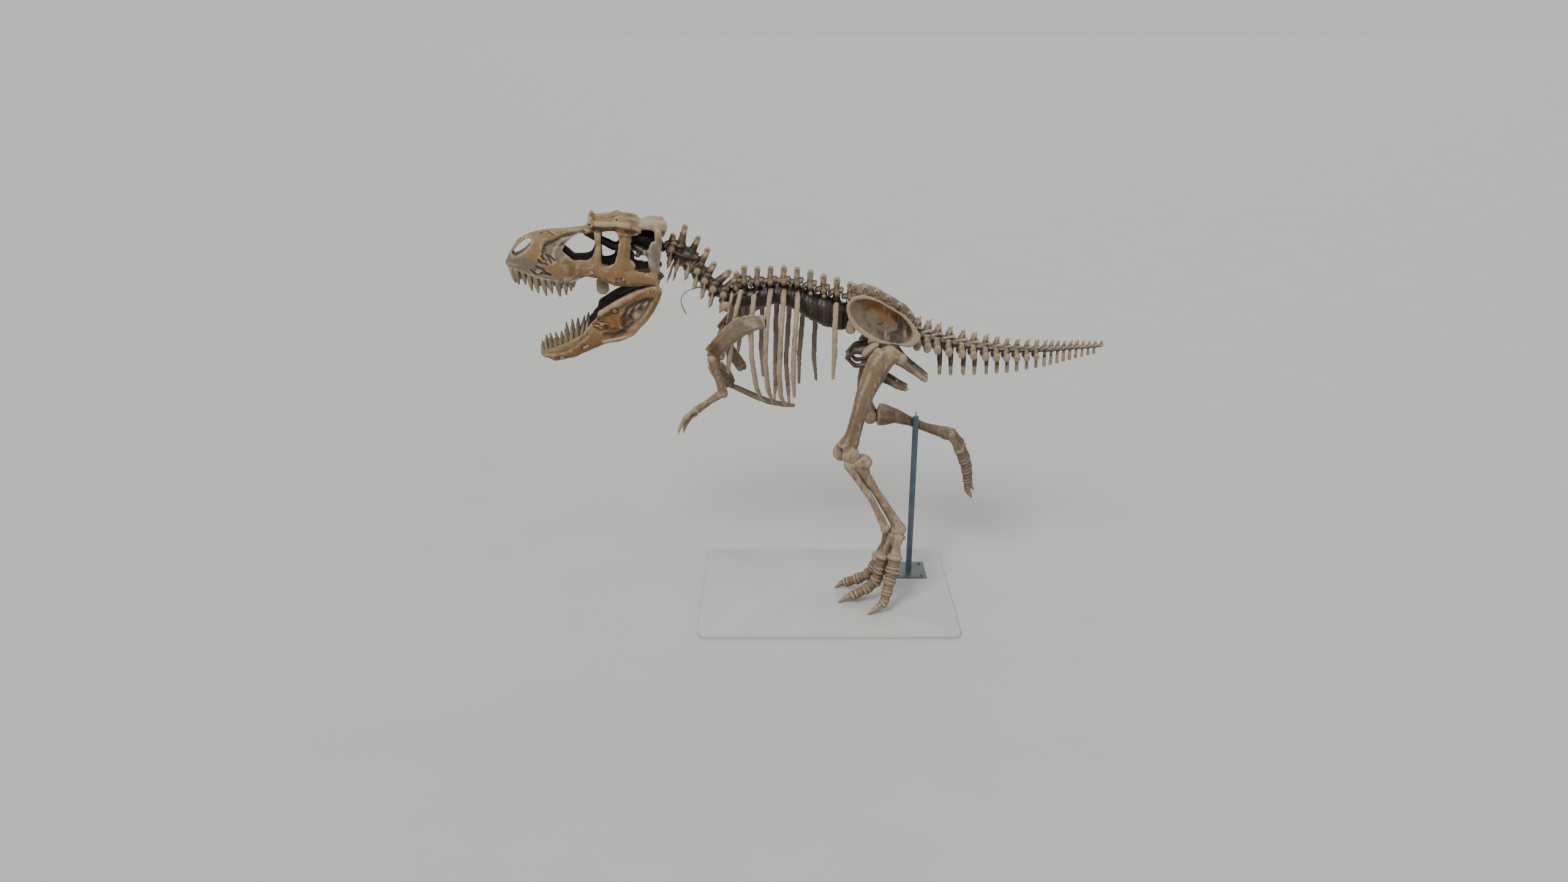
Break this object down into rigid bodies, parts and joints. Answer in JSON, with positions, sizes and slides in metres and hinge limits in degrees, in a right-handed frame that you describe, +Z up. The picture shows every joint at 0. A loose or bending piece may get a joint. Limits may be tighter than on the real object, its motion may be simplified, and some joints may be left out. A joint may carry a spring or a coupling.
{
  "type": "mounted tyrannosaurus skeleton",
  "caption": "Life-size cast skeleton of a tyrannosaurus with open jaws, standing on one leg with a support pipe and a flat base.",
  "frame": {"origin": "centre of the bounding box at the underside of the flat base", "axes": "+Z up, the head towards -X, the animal's left side towards -Y"},
  "size_m": [5.268, 1.62, 3.5166],
  "materials": {
    "bone": "cast resin painted as tan and ochre bone with dark crevices, low sheen",
    "dark_bone": "cast resin painted as dark brown bone, soft gloss",
    "pipe_paint": "blue-grey paint on a steel pipe",
    "plate_paint": "dark green-grey paint on a steel plate",
    "base_paint": "matt pale grey paint on a board"
  },
  "bodies": {
    "root": {"femur_left": "bone", "femur_right": "bone", "fibula_left": "bone", "fibula_right": "bone", "forearm_left": "bone", "forearm_right": "bone", "hand_left": "bone", "hand_right": "bone", "humerus_left": "bone", "humerus_right": "bone", "ilium_left": "bone", "ilium_right": "bone", "ischium": "bone", "jaw": "bone", "metatarsus_left": "bone", "metatarsus_right": "bone", "neck_back": "dark_bone", "neck_front": "dark_bone", "pubis": "dark_bone", "sacrum": "dark_bone", "scapula_left": "bone", "scapula_right": "bone", "skull": "bone", "stand_base": "base_paint", "stand_pipe": "pipe_paint", "stand_plate": "plate_paint", "sternum": "dark_bone", "tail_1": "bone", "tail_2": "bone", "tail_3": "bone", "tail_4": "bone", "throat_rod": "dark_bone", "tibia_left": "bone", "tibia_right": "bone", "toe_inner_left": "bone", "toe_inner_right": "bone", "toe_middle_left": "bone", "toe_middle_right": "bone", "toe_outer_left": "bone", "toe_outer_right": "bone", "trunk_left": "dark_bone", "trunk_right": "dark_bone"}
  },
  "joints": []
}
